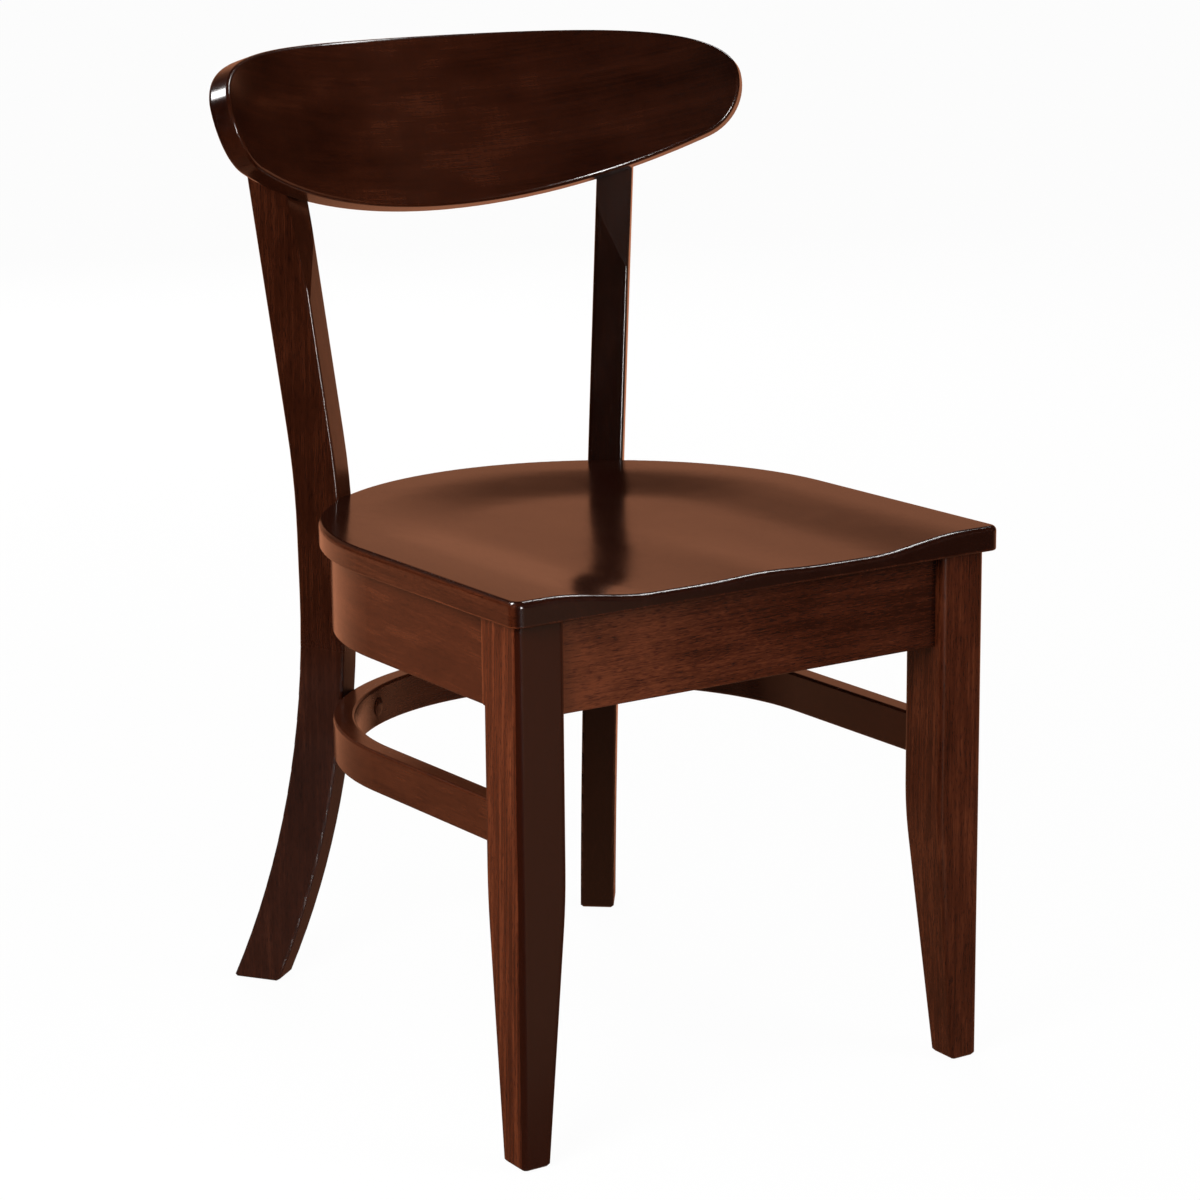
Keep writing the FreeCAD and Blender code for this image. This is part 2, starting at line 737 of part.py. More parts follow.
# Screws up through the blocks into the seat
seat_screws = []
corner_middle = halfway(halfway(rail_corner, apron_corner), halfway(rail_end, apron_end))
seat_screw_length = block_height - screw_sink + seat_screw_bite
corner_place = Vector(corner_middle.x, corner_middle.y, block_low + screw_sink)
add_screw(seat_screws, corner_place, UP, seat_screw_length, block_height,
          ["corner_block_right", "seat"], ["corner_block_left", "seat"])
rear_place = Vector(
    rear_seat_screw_spread / 2, rear_block_front + rear_block_depth / 2, block_low + screw_sink)
add_screw(seat_screws, rear_place, UP, seat_screw_length, block_height,
          ["rear_seat_block", "seat"], ["rear_seat_block", "seat"])

# Screws from inside the apron into the rear legs, drawn for the left side
apron_screws = []
for sign in (1, -1):
    on_leg = splayed_point(0, 0, apron_middle_z + sign * dowel_spacing / 2)
    head = line_meets_bend(on_leg, leg_out, bend_centre, bend_radius - apron_thickness) + leg_out * screw_sink
    length = (on_leg - head).dot(leg_out) + apron_screw_bite
    add_screw(apron_screws, head, leg_out, length, apron_thickness,
              ["rear_leg_left", "bent_apron"], ["rear_leg_right", "bent_apron"])

# Bolts through the stretcher into the rear legs, under round buttons, drawn for the left side
on_leg = splayed_point(0, 0, stretcher_middle)
inner_face = line_meets_bend(on_leg, leg_out, stretcher_centre, stretcher_radius - stretcher_thickness)
bolt_seat = inner_face + leg_out * (button_depth + bolt_head_height)
bolt_length = (on_leg - bolt_seat).dot(leg_out) + bolt_bite
bolt_head = rod(inner_face + leg_out * button_depth, leg_out, bolt_head_height, bolt_head_diameter)
bolt = bolt_head.fuse(rod(bolt_seat, leg_out, bolt_length, bolt_diameter)).removeSplitter()
stretcher_bolts = both_sides(bolt)
bolt_hole = rod(bolt_seat, leg_out, bolt_length + glue_gap, bolt_diameter + 2 * glue_gap)
head_hole = rod(inner_face - leg_out * button_depth, leg_out, 2 * button_depth + bolt_head_height,
                bolt_head_diameter + 2 * glue_gap)
bolt_cutter = bolt_hole.fuse(head_hole)
drill(["rear_leg_left"], bolt_hole)
drill(["rear_leg_right"], mirrored(bolt_hole))
drill(["bent_stretcher"], bolt_cutter)
drill(["bent_stretcher"], mirrored(bolt_cutter))
button_face = inner_face - leg_out * cope_gap
button_stem = rod(button_face, leg_out, button_depth + cope_gap, bolt_head_diameter)
dome_radius = (button_rise ** 2 + (button_diameter / 2) ** 2) / (2 * button_rise)
dome = Part.makeSphere(dome_radius, button_face + leg_out * (dome_radius - button_rise))
dome = dome.cut(half_space(button_face, leg_out))
stretcher_plugs = both_sides(button_stem.fuse(dome).removeSplitter())

# Screws through the posts into the back panel, closed with flush plugs, drawn for the left side
panel_screws = []
post_plugs = []
post_blank = rear_left.copy()
post_slope = math.tan(math.radians(post_lean))
for below_top in (panel_screw_low_below_top, panel_screw_high_below_top):
    height = post_top - below_top
    back_r = rear_leg_depth + (height - post_bend_back) * post_slope
    on_back = splayed_point(back_r, 0, height)
    outwards = on_back - panel_axis
    outwards = outwards - panel_up * outwards.dot(panel_up)
    reach = outwards.Length
    forwards = outwards.normalize() * -1
    head = on_back + forwards * plug_length
    length = reach - plug_length - panel_radius - panel_thickness + panel_screw_bite
    add_screw(panel_screws, head, forwards, length, glue_gap, ["rear_leg_left", "back_panel"],
              ["rear_leg_right", "back_panel"])
    plug = rod(on_back - forwards * plug_length, forwards, 2 * plug_length - glue_gap, plug_diameter)
    plug_hole = rod(on_back - forwards * plug_length, forwards, 2 * plug_length, plug_diameter + 2 * glue_gap)
    post_plugs.extend(both_sides(plug.common(post_blank)))
    drill(["rear_leg_left"], plug_hole)
    drill(["rear_leg_right"], mirrored(plug_hole))

# Every piece that stands square in the frame
square = {
    "seat": seat, "back_panel": panel, "front_rail": rail, "bent_apron": apron, "bent_stretcher": stretcher,
    "front_leg_right": leg_right, "front_leg_left": mirrored(leg_right),
    "rear_leg_left": rear_left, "rear_leg_right": mirrored(rear_left),
    "corner_block_right": corner_block, "corner_block_left": mirrored(corner_block),
    "rear_seat_block": rear_block, "rail_dowels": rail_dowels, "apron_dowels": apron_dowels,
    "stretcher_dowels": stretcher_dowels, "corner_block_screws": corner_block_screws,
    "rear_block_screws": rear_block_screws, "seat_screws": seat_screws, "apron_screws": apron_screws,
    "stretcher_bolts": stretcher_bolts, "stretcher_plugs": stretcher_plugs,
    "panel_screws": panel_screws, "post_plugs": post_plugs}
legs = ["front_leg_right", "front_leg_left", "rear_leg_right", "rear_leg_left"]
finished = {}
for name, shape in square.items():
    if isinstance(shape, list):
        shape = Part.makeCompound(shape)
    elif name in holes:
        shape = shape.cut(holes[name])
    finished[name] = to_floor(shape) if name in legs else to_world(shape)

# Glides, nailed into a shallow seat under each foot
glide_pads = []
glide_nails = []
for name in legs:
    centre = foot_centre(finished[name])
    sunk = glide_thickness - glide_stand
    base = Vector(centre.x, centre.y, -glide_stand)
    glide = rod(base, UP, glide_thickness, glide_diameter)
    lower_rim = [edge for edge in glide.Edges if level_edge(edge, -glide_stand)]
    glide = glide.makeFillet(glide_stand, lower_rim)
    head_low = base + UP * glide_stand
    nail_head = rod(head_low, UP, sunk, glide_nail_head)
    nail = nail_head.fuse(rod(head_low, UP, glide_nail_length, glide_nail_diameter)).removeSplitter()
    nail_hole = rod(base, UP, glide_nail_length + 2 * glide_stand, glide_nail_diameter + 2 * glue_gap)
    head_hole = rod(base - UP, UP, glide_thickness + 2, glide_nail_head + 2 * glue_gap)
    seat_hole = rod(base, UP, glide_thickness, glide_diameter + 2 * glue_gap)
    finished[name] = finished[name].cut([seat_hole, nail_hole])
    glide_pads.append(glide.cut(head_hole))
    glide_nails.append(nail)
finished["glide_pads"] = Part.makeCompound(glide_pads)
finished["glide_nails"] = Part.makeCompound(glide_nails)

# The origin goes to the middle of the overall box, on the floor
whole = Part.makeCompound(list(finished.values())).optimalBoundingBox(False)
shift = Vector(-(whole.XMin + whole.XMax) / 2, -(whole.YMin + whole.YMax) / 2, -whole.ZMin)
os.makedirs("parts", exist_ok=True)
for name, shape in finished.items():
    shape.translate(shift)
    shape.exportStep("parts/" + name + ".step")
    state = "valid" if shape.isValid() else "NOT VALID"
    print(name, len(shape.Solids), "solids,", state, round(shape.Volume))
print("shift", shift, "overall", whole.XLength, whole.YLength, whole.ZLength)
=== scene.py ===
import bmesh
import bpy
import math
from mathutils import Matrix, Vector


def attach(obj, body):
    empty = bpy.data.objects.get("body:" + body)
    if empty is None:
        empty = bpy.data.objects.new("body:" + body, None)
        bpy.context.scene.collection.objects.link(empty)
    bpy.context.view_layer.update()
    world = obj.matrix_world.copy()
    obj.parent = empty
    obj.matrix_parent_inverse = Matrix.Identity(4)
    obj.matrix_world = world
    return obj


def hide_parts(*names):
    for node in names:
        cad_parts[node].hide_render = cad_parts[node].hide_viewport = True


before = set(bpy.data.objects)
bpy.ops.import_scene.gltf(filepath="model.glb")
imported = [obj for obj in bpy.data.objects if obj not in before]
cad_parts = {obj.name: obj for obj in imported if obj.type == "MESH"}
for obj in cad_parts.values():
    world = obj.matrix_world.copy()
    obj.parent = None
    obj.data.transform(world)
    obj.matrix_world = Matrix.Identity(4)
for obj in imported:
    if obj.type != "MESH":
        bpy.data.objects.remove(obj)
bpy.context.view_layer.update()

# Camera, at the photograph's viewing angle
CAMERA_PLACE = Vector((-1.65365, -2.46571, 1.13697))
CAMERA_YAW = math.radians(-34.228)
CAMERA_PITCH = math.radians(-14.509)
CAMERA_ROLL = math.radians(0.374)
CAMERA_LENS = 109.44
SENSOR_WIDTH = 36.0

# Bends that the grain follows, in metres
BEND_CENTRE_Y = -0.0352
BEND_RADIUS = 0.214
PANEL_AXIS = Vector((0.0, -0.1074, 0.8921))
PANEL_RADIUS = 0.368
PANEL_LEAN = math.radians(24.4)

# Stain tones under the lacquer, from dark streak to light streak
DARK_STAIN = (0.012, 0.0021, 0.0008)
MIDDLE_STAIN = (0.045, 0.0092, 0.0032)
LIGHT_STAIN = (0.115, 0.0275, 0.0098)
MIDDLE_TONE = 0.5
LIGHT_TONE = 0.95

# Figure of stained wood: length along the grain and width across it in metres, the noise's detail,
# and a shift that keeps the patterns apart; a fibre's length is given with each wood
BLOTCH_FIGURE = (0.085, 0.04, 3.0, 0.0)
STREAK_FIGURE = (0.13, 0.0026, 2.0, 3.0)
FIBRE_FIGURE = (0.0008, 2.0, 5.0)
PORE_FIGURE = (0.0075, 0.00085, 1.0, 7.0)
RING_BEND_FIGURE = (0.13, 0.045, 2.0, 11.0)
PALE_FLECK_FIGURE = (0.0065, 0.0008, 1.0, 13.0)
CURL_STEPS = (0.0032, 0.045, 0.05)
CURL_DETAIL = 2.0
PEEL_STEPS = (0.006, 0.004, 0.004)
PEEL_DETAIL = 1.0

# Where masks of the figure begin and are full
PORE_MASK = (0.52, 0.70)
PALE_FLECK_MASK = (0.5, 0.68)
RING_MASK = (-0.2, 1.0)
END_MASK = (0.55, 0.9)
FLAT_FACE_MASK = (0.85, 0.985)
SIDE_MASK = (0.5, 0.9)

# How strongly each figure works on the tone
NOISE_MIDDLE = 0.5
BLOTCH_GAIN = 2.2
STREAK_GAIN = 1.7
FIBRE_GAIN = 0.35
RING_MIDDLE = 0.4
RING_INTO = 0.8
RING_ACROSS = 0.45
RING_WANDER = 0.035
SIDE_EVENNESS = 0.7

# Lacquer: its roughness and its small relief
LACQUER_IOR = 1.5
LACQUER_BUMP = {"Strength": 0.35, "Distance": 0.00006}
PEEL_HEIGHT = 0.6
FIBRE_HEIGHT = 0.25
PORE_DEPTH = 0.2
BLOTCH_ROUGHNESS = 0.08
PORE_ROUGHNESS = 0.05
END_ROUGHNESS = 0.04
MATT_ROUGHNESS = 0.3
MATT_FADE = 0.08

# Lighter line where the apron meets the front legs
JOINT_Y = -0.2116
JOINT_Z = 0.3535
JOINT_LINE = 0.0013
JOINT_CORE = JOINT_LINE * 0.4
JOINT_LIGHT = 0.5
FRAME_LEAN = 0.03

# Underside of the seat where the frame's lean crosses the front legs: a painted highlight along the seat's
# lower arris, and the painted shadow that its edge throws on the apron's top
SEAT_UNDER_Z = 0.4346
SEAT_UNDER_Y = -0.2116
ARRIS_HIGHLIGHT_WIDTH = 0.0024
ARRIS_HIGHLIGHT_CORE = ARRIS_HIGHLIGHT_WIDTH * 0.5
SHADE_DEPTH = 0.016

# Bare wood of blocks and dowels: length, width and detail of its figure, and its tones
BARE_FIBRE = (0.02, 0.0009, 2.0)
BARE_STREAK = (0.09, 0.006, 3.0)
BARE_END_MASK = (0.5, 0.9)
BARE_STREAK_GAIN = 1.3
BARE_FIBRE_GAIN = 0.7
BARE_END_GAIN = 0.25
BARE_ROUGHNESS = 0.6
BARE_FIBRE_ROUGHNESS = 0.2
BARE_BUMP = {"Strength": 0.5, "Distance": 0.0002}
PALE_STOP = 0.1
BROWN_STOP = 0.95
BLOCK_PALE = (0.36, 0.22, 0.12)
BLOCK_BROWN = (0.2, 0.105, 0.05)
DOWEL_PALE = (0.5, 0.34, 0.19)
DOWEL_BROWN = (0.33, 0.2, 0.1)

# Zinc plated steel: steps of its clouds and scratches in metres
ZINC_CLOUD_STEPS = (0.002, 0.002, 0.002)
ZINC_SCRATCH_STEPS = (0.0002, 0.0016, 0.0003)
ZINC_STOPS = [(0.25, (0.42, 0.42, 0.40)), (0.8, (0.68, 0.67, 0.62))]
ZINC_ROUGHNESS = 0.26
ZINC_SCRATCH_ROUGHNESS = 0.2
ZINC_BUMP = {"Strength": 0.25, "Distance": 0.00005}

# Moulded nylon of the glides: steps of its speckle and scuffs in metres
NYLON_SPECKLE_STEPS = (0.0004, 0.0004, 0.0004)
NYLON_SCUFF_STEPS = (0.003, 0.0006, 0.003)
NYLON_SCUFF_MASK = (0.55, 0.75)
NYLON_STOPS = [(0.0, (0.012, 0.010, 0.009)), (1.0, (0.06, 0.054, 0.05))]
NYLON_SPECKLE_GAIN = 0.4
NYLON_SCUFF_GAIN = 0.5
NYLON_ROUGHNESS = 0.42
NYLON_SCUFF_ROUGHNESS = 0.2
NYLON_BUMP = {"Strength": 0.4, "Distance": 0.00005}

# What the lacquer mirrors: the warm side of the studio
WARM_WALL = (0.92, 0.36, 0.19)
DIM_SHARE = 0.03
WHITE = (1.0, 1.0, 1.0)

# The sweep behind the chair faces the camera: its forward and rightward directions on the floor
SWEEP_FORWARD = (-math.sin(CAMERA_YAW), math.cos(CAMERA_YAW))
SWEEP_RIGHT = (math.cos(CAMERA_YAW), math.sin(CAMERA_YAW))

# Floor, in metres: where its warm light begins and is full, and the pale patch before the left front leg
FLOOR_HALF = 14.0
FLOOR_PAINT = (0.9, 0.9, 0.9)
FLOOR_BOUNCE = (0.4, 0.4, 0.4)
FLOOR_WHITENESS = 0.96
LIT_FORWARD = (-1.0, 0.9)
LIT_RIGHT = (-2.6, -1.6)
LIT_GLOW = 0.48
FAR_FORWARD = (0.4, 1.1)
FAR_GLOW = 0.4
LEG_FACE_DIRECTION = (0.824, 0.566)
LEG_FACE_REACH = (-0.31, -0.14)
LEG_ARRIS_DIRECTION = (0.98, 0.196)
LEG_ARRIS_REACH = (-0.30, -0.24)
PATCH_FORWARD = (-0.5, -0.3)
PATCH_COLOUR = (1.0, 0.58, 0.36)
PATCH_GLOW = 0.36

# Walls by direction, as parts of a unit vector: a high one behind the chair, a low one, and one all round
WALL_FORWARD = (0.80, 0.95)
WALL_GLOW = 0.57
WALL_DIMMING = (0.27, 0.42)
WALL_DIM_LOSS = 0.25
WALL_TOP = (0.45, 0.65)
WALL_TOP_LOSS = 0.9
LOW_WALL_FORWARD = (0.55, 0.72)
LOW_WALL_TOP = (0.04, 0.14)
LOW_WALL_GLOW = 0.55
AROUND_SIDE = (0.35, 0.6)
AROUND_BASE = (0.16, 0.24)
AROUND_TOP = (0.42, 0.6)
AROUND_GLOW = 0.2
SOFT_COLOUR = (1.0, 0.97, 0.94)
SOFT_GLOW = 0.1
SOFT_RISE = (-0.1, 0.8)
SOFT_RISE_GLOW = 0.35

# Wood screws: countersunk heads with a cross recess, and a thread
SCREW_SIZES = {
    "Head diameter": 0.009, "Shank diameter": 0.0045, "Thread pitch": 0.0018, "Thread depth": 0.0006,
    "Recess length": 0.0054, "Recess width": 0.0012, "Recess depth": 0.0014}
HEAD_PLANE = 0.0001
HEAD_SIDES = 48
SHANK_SIDES = 24
RIDGE_SIDES = 3
SAME_PLACE = 1e-6


def add_camera():
    forward = Vector((
        -math.sin(CAMERA_YAW) * math.cos(CAMERA_PITCH),
        math.cos(CAMERA_YAW) * math.cos(CAMERA_PITCH),
        math.sin(CAMERA_PITCH)))
    level_right = Vector((math.cos(CAMERA_YAW), math.sin(CAMERA_YAW), 0.0))
    level_up = level_right.cross(forward)
    right = level_right * math.cos(CAMERA_ROLL) + level_up * math.sin(CAMERA_ROLL)
    up = level_up * math.cos(CAMERA_ROLL) - level_right * math.sin(CAMERA_ROLL)
    data = bpy.data.cameras.new("camera")
    data.sensor_width = SENSOR_WIDTH
    data.lens = CAMERA_LENS
    camera = bpy.data.objects.new("camera", data)
    turn = Matrix((right, up, -forward)).transposed().to_4x4()
    camera.matrix_world = Matrix.Translation(CAMERA_PLACE) @ turn
    bpy.context.scene.collection.objects.link(camera)
    bpy.context.scene.camera = camera


class Value:
    """A number on a socket; arithmetic on it adds Math nodes."""

    def __init__(self, shade, socket):
        self.shade = shade
        self.socket = socket

    def math(self, operation, *others):
        return self.shade.node("ShaderNodeMath", {"operation": operation}, [self, *others])

    def __add__(self, other):
        return self.math("ADD", other)

    def __sub__(self, other):
        return self.math("SUBTRACT", other)

    def __mul__(self, other):
        return self.math("MULTIPLY", other)

    def __truediv__(self, other):
        return self.math("DIVIDE", other)

    def __rsub__(self, other):
        return self.shade.node("ShaderNodeMath", {"operation": "SUBTRACT"}, [other, self])

    __radd__ = __add__
    __rmul__ = __mul__

    def __abs__(self):
        return self.math("ABSOLUTE")

    def smooth(self, low, high):
        """0 below low, 1 above high, and a soft step between them."""
        inputs = {"Value": self, "From Min": low, "From Max": high}
        return self.shade.node("ShaderNodeMapRange", {"interpolation_type": "SMOOTHSTEP"}, inputs)


class Shading:
    """The nodes of a material or of the world."""

    def __init__(self, owner):
        owner.use_nodes = True
        self.tree = owner.node_tree
        self.tree.nodes.clear()

    def node(self, kind, settings, inputs, output=0):
        made = self.tree.nodes.new(kind)
        for key, setting in settings.items():
            if key == "stops":
                ramp = made.color_ramp
                for index, (place, colour) in enumerate(setting):
                    stop = ramp.elements[index] if index < 2 else ramp.elements.new(place)
                    stop.position = place
                    stop.color = opaque(colour)
            else:
                setattr(made, key, setting)
        named = inputs.items() if isinstance(inputs, dict) else enumerate(inputs)
        for key, given in named:
            if isinstance(given, Value):
                self.tree.links.new(given.socket, made.inputs[key])
            else:
                made.inputs[key].default_value = given
        return Value(self, made.outputs[output]) if made.outputs else None

    def parts(self, vector):
        return [self.node("ShaderNodeSeparateXYZ", {}, [vector], axis) for axis in "XYZ"]

    def place(self):
        """Object coordinates, as three numbers in metres."""
        return self.parts(self.node("ShaderNodeTexCoord", {}, {}, "Object"))

    def facing(self, axis):
        """How squarely the surface faces along an axis, 0 to 1."""
        normal = self.node("ShaderNodeTexCoord", {}, {}, "Normal")
        return abs(self.node("ShaderNodeSeparateXYZ", {}, [normal], axis))

    def noise(self, x, y, z, detail):
        point = self.node("ShaderNodeCombineXYZ", {}, [x, y, z])
        inputs = {"Vector": point, "Scale": 1.0, "Detail": detail, "Roughness": 0.5}
        return self.node("ShaderNodeTexNoise", {}, inputs)

    def stepped_noise(self, steps, detail):
        """Noise with its own step along each axis of the object."""
        return self.noise(*[part / step for part, step in zip(self.place(), steps)], detail)

    def ramp(self, stops, value):
        return self.node("ShaderNodeValToRGB", {"stops": stops}, [value])

    def bump(self, sizes, height):
        return self.node("ShaderNodeBump", {}, {**sizes, "Height": height})

    def surface(self, inputs):
        shader = self.node("ShaderNodeBsdfPrincipled", {}, inputs)
        self.node("ShaderNodeOutputMaterial", {}, {"Surface": shader})

    def glow(self, colour, strength):
        return self.node("ShaderNodeEmission", {}, {"Color": opaque(colour), "Strength": strength})

    def sky(self, colour, strength):
        return self.node("ShaderNodeBackground", {}, {"Color": opaque(colour), "Strength": strength})

    def paint(self, colour):
        return self.node("ShaderNodeBsdfDiffuse", {}, {"Color": opaque(colour)})

    def either(self, share, first, second):
        return self.node("ShaderNodeMixShader", {}, [share, first, second])


def opaque(colour):
    return (*colour, 1.0)


def toned(colour, factor):
    return tuple(part * factor for part in colour)


def towards(x, y, direction):
    """How far a point or direction reaches along a level direction."""
    return x * direction[0] + y * direction[1]


# Grain: how far along, across and into the wood a point lies
def upright_grain(x, y, z):
    return z, x, y


def level_grain(x, y, z):
    return x, z, y


def front_to_back_grain(x, y, z):
    return y, x, z


def bent_grain(x, y, z):
    behind = y - BEND_CENTRE_Y
    in_bend = behind.math("MAXIMUM", 0.0)
    on_side = behind.math("MINIMUM", 0.0)
    around = x.math("ARCTAN2", in_bend) * BEND_RADIUS
    outwards = (x * x + in_bend * in_bend).math("SQRT")
    return around - x.math("SIGN") * on_side, z, outwards


def panel_grain(x, y, z):
    back = y - PANEL_AXIS.y
    rise = z - PANEL_AXIS.z
    outwards = back * math.cos(PANEL_LEAN) - rise * math.sin(PANEL_LEAN)
    upwards = back * math.sin(PANEL_LEAN) + rise * math.cos(PANEL_LEAN)
    radius = (x * x + outwards * outwards).math("SQRT")
    return x.math("ARCTAN2", outwards) * PANEL_RADIUS, upwards, radius


def stained_wood(name, grain, end_axis, tone, blotch, streak, fleck, ring, seed, ring_width=0.011,
                 end_dark=0.3, gloss=0.19, fibre_length=0.022, cross_figure=0.0, painted_light_falloff=0.0, painted_end_shade=0.0,
                 pale_fleck=0.0, painted_arris_highlight=0.0, top_shade=0.0, painted_dark_arris=0.0, joint_y=None,
                 shaded_side_axis=None, painted_side_shade=0.0, matt_below=None):
    """Dark brown stain under satin lacquer; what a wood doesn't name is left out of it."""
    material = bpy.data.materials.new(name)
    shade = Shading(material)
    x, y, z = shade.place()
    along, across, into = grain(x, y, z)

    def pattern(length, width, detail, shift):
        return shade.noise(along / length + (seed + shift), across / width + seed, into / width, detail)

    blotches = pattern(*BLOTCH_FIGURE)
    streaks = pattern(*STREAK_FIGURE)
    fibres = pattern(fibre_length, *FIBRE_FIGURE)
    pores = pattern(*PORE_FIGURE).smooth(*PORE_MASK)
    wander = (pattern(*RING_BEND_FIGURE) - NOISE_MIDDLE) * RING_WANDER
    year = (into * RING_INTO + across * RING_ACROSS + wander) / ring_width
    rings = (year * (2 * math.pi)).math("SINE").smooth(*RING_MASK)
    ends = shade.facing(end_axis).smooth(*END_MASK)

    value = MIDDLE_TONE + (blotches - NOISE_MIDDLE) * (BLOTCH_GAIN * blotch)
    value = value + (streaks - NOISE_MIDDLE) * (STREAK_GAIN * streak)
    value = value + (fibres - NOISE_MIDDLE) * FIBRE_GAIN + (rings - RING_MIDDLE) * ring
    value = value - pores * fleck - ends * end_dark
    if cross_figure:
        long_step, cross_step, deep_step = CURL_STEPS
        curl = shade.noise(along / long_step + seed, across / cross_step, into / deep_step, CURL_DETAIL)
        value = value + (curl - NOISE_MIDDLE) * cross_figure
    # Painted shade: the tone falls off along the grain towards one side, and towards both ends, for light
    # that falls off across rail, panel and stretcher
    if painted_light_falloff:
        value = value + along * painted_light_falloff
    if painted_end_shade:
        value = value - abs(along) * painted_end_shade
    if pale_fleck:
        value = value + pattern(*PALE_FLECK_FIGURE).smooth(*PALE_FLECK_MASK) * pale_fleck
    # Painted highlight along the seat's lower arris, and painted shadow of the seat's edge on the apron's top
    if painted_arris_highlight or top_shade:
        above_seat_under = z - SEAT_UNDER_Z + (y - SEAT_UNDER_Y) * FRAME_LEAN
        line = (1.0 - above_seat_under.smooth(ARRIS_HIGHLIGHT_CORE, ARRIS_HIGHLIGHT_WIDTH)) * painted_arris_highlight
        value = value + line - above_seat_under.smooth(-SHADE_DEPTH, 0.0) * top_shade
    # Painted dark reflection along the leg's rounded arrises
    if painted_dark_arris:
        off_side = 1.0 - shade.facing("X").smooth(*FLAT_FACE_MASK)
        off_front = 1.0 - shade.facing("Y").smooth(*FLAT_FACE_MASK)
        value = value - off_side * off_front * painted_dark_arris
    if joint_y is not None:
        behind_joint = y - joint_y - (z - JOINT_Z) * FRAME_LEAN
        value = value + (1.0 - behind_joint.smooth(JOINT_CORE, JOINT_LINE)) * JOINT_LIGHT
    # Painted shade: faces along the given axis, the seat's top and the left front leg's front, are darker and
    # more even for how light falls on them
    if shaded_side_axis:
        side = shade.facing(shaded_side_axis).smooth(*SIDE_MASK)
        value = value - side * ((value - MIDDLE_TONE) * SIDE_EVENNESS + painted_side_shade)
    colour = shade.ramp([
        (0.0, toned(DARK_STAIN, tone)), (LIGHT_TONE, toned(LIGHT_STAIN, tone)),
        (MIDDLE_TONE, toned(MIDDLE_STAIN, tone))], value)

    long_step, cross_step, deep_step = PEEL_STEPS
    peel = shade.noise(along / long_step, across / cross_step, into / deep_step, PEEL_DETAIL)
    height = peel * PEEL_HEIGHT + fibres * FIBRE_HEIGHT - pores * PORE_DEPTH
    roughness = gloss + (blotches - NOISE_MIDDLE) * BLOTCH_ROUGHNESS + pores * PORE_ROUGHNESS
    roughness = roughness + ends * END_ROUGHNESS
    if matt_below is not None:
        roughness = roughness + (1.0 - z.smooth(matt_below, matt_below + MATT_FADE)) * MATT_ROUGHNESS
    shade.surface({
        "Base Color": colour, "Roughness": roughness, "IOR": LACQUER_IOR,
        "Normal": shade.bump(LACQUER_BUMP, height)})
    return material


def bare_wood(name, grain, end_axis, pale, brown, seed):
    material = bpy.data.materials.new(name)
    shade = Shading(material)
    along, across, into = grain(*shade.place())

    def pattern(length, width, detail):
        return shade.noise(along / length + seed, across / width, into / width, detail)

    fibres = pattern(*BARE_FIBRE)
    streaks = pattern(*BARE_STREAK)
    ends = shade.facing(end_axis).smooth(*BARE_END_MASK)
    share = MIDDLE_TONE + (streaks - NOISE_MIDDLE) * BARE_STREAK_GAIN
    share = share + (fibres - NOISE_MIDDLE) * BARE_FIBRE_GAIN + ends * BARE_END_GAIN
    shade.surface({
        "Base Color": shade.ramp([(PALE_STOP, pale), (BROWN_STOP, brown)], share),
        "Roughness": BARE_ROUGHNESS + fibres * BARE_FIBRE_ROUGHNESS,
        "Normal": shade.bump(BARE_BUMP, fibres)})
    return material


def plated_steel():
    material = bpy.data.materials.new("zinc_plated_steel")
    shade = Shading(material)
    cloud = shade.stepped_noise(ZINC_CLOUD_STEPS, detail=3.0)
    scratch = shade.stepped_noise(ZINC_SCRATCH_STEPS, detail=2.0)
    shade.surface({
        "Base Color": shade.ramp(ZINC_STOPS, cloud), "Metallic": 1.0,
        "Roughness": ZINC_ROUGHNESS + scratch * ZINC_SCRATCH_ROUGHNESS,
        "Normal": shade.bump(ZINC_BUMP, scratch)})
    return material


def moulded_nylon():
    material = bpy.data.materials.new("moulded_nylon")
    shade = Shading(material)
    speckle = shade.stepped_noise(NYLON_SPECKLE_STEPS, detail=2.0)
    scuffs = shade.stepped_noise(NYLON_SCUFF_STEPS, detail=3.0).smooth(*NYLON_SCUFF_MASK)
    shade.surface({
        "Base Color": shade.ramp(NYLON_STOPS, speckle * NYLON_SPECKLE_GAIN + scuffs * NYLON_SCUFF_GAIN),
        "Roughness": NYLON_ROUGHNESS + scuffs * NYLON_SCUFF_ROUGHNESS,
        "Normal": shade.bump(NYLON_BUMP, speckle)})
    return material


